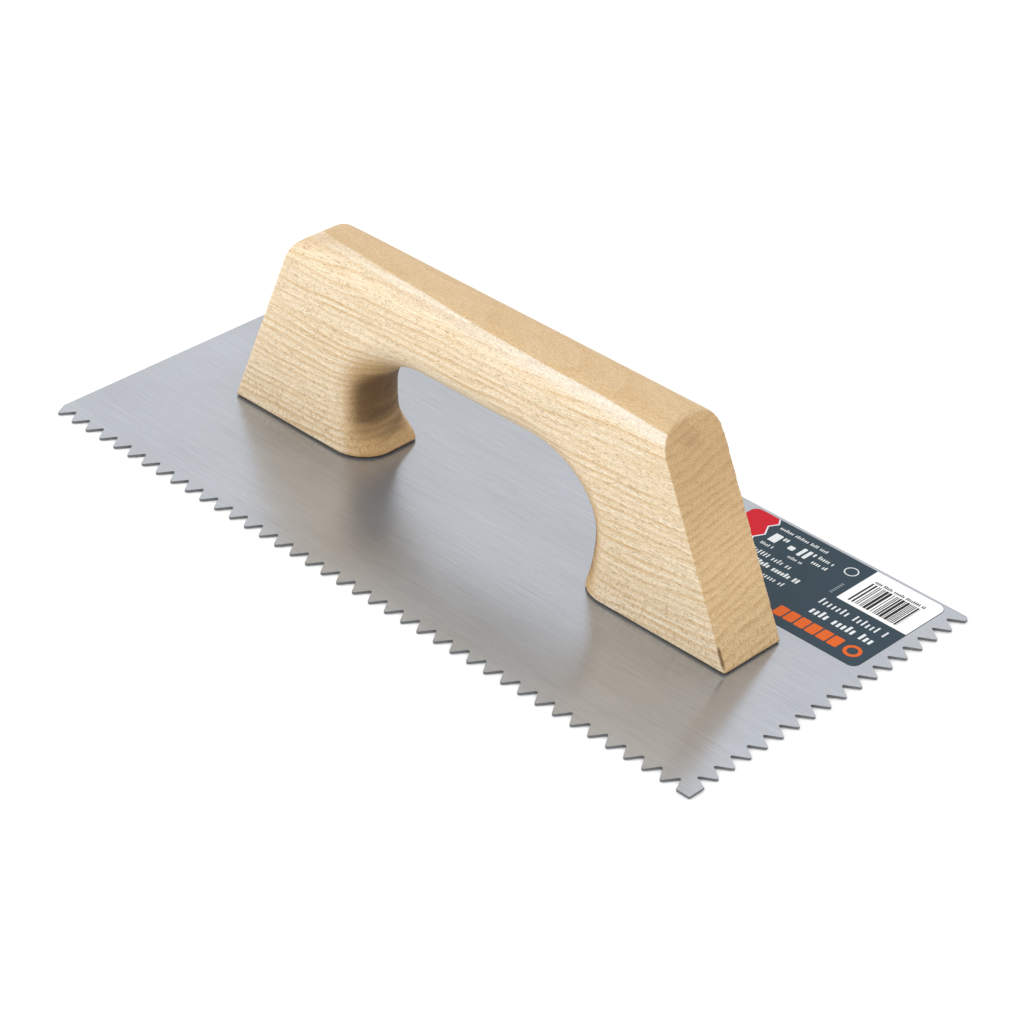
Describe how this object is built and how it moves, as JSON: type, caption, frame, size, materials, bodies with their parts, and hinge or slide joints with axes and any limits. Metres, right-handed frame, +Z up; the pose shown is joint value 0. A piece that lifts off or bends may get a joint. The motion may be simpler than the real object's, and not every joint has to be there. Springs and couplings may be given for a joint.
{
  "type": "notched trowel",
  "caption": "Rectangular steel trowel with V notches along one long and one short edge, a wooden bridge handle screwed on through the blade, and a label stuck on top.",
  "frame": {"origin": "middle of the blade's flat underside, which is the surface it works and rests on", "axes": "+X along the blade's length towards the notched short edge, +Z up through the handle, the notched long edge faces -Y"},
  "size_m": [0.2794, 0.127, 0.0712],
  "materials": {
    "blade_steel": "satin, brushed along the blade",
    "handle_wood": "planed and sanded, bare",
    "screw_steel": "zinc plated",
    "label_film": "printed film, semi-gloss"
  },
  "bodies": {
    "root": {"blade": "blade_steel", "handle": "handle_wood", "screw_left_outer": "screw_steel", "screw_left_inner": "screw_steel", "screw_right_inner": "screw_steel", "screw_right_outer": "screw_steel", "label": "label_film"}
  },
  "joints": []
}
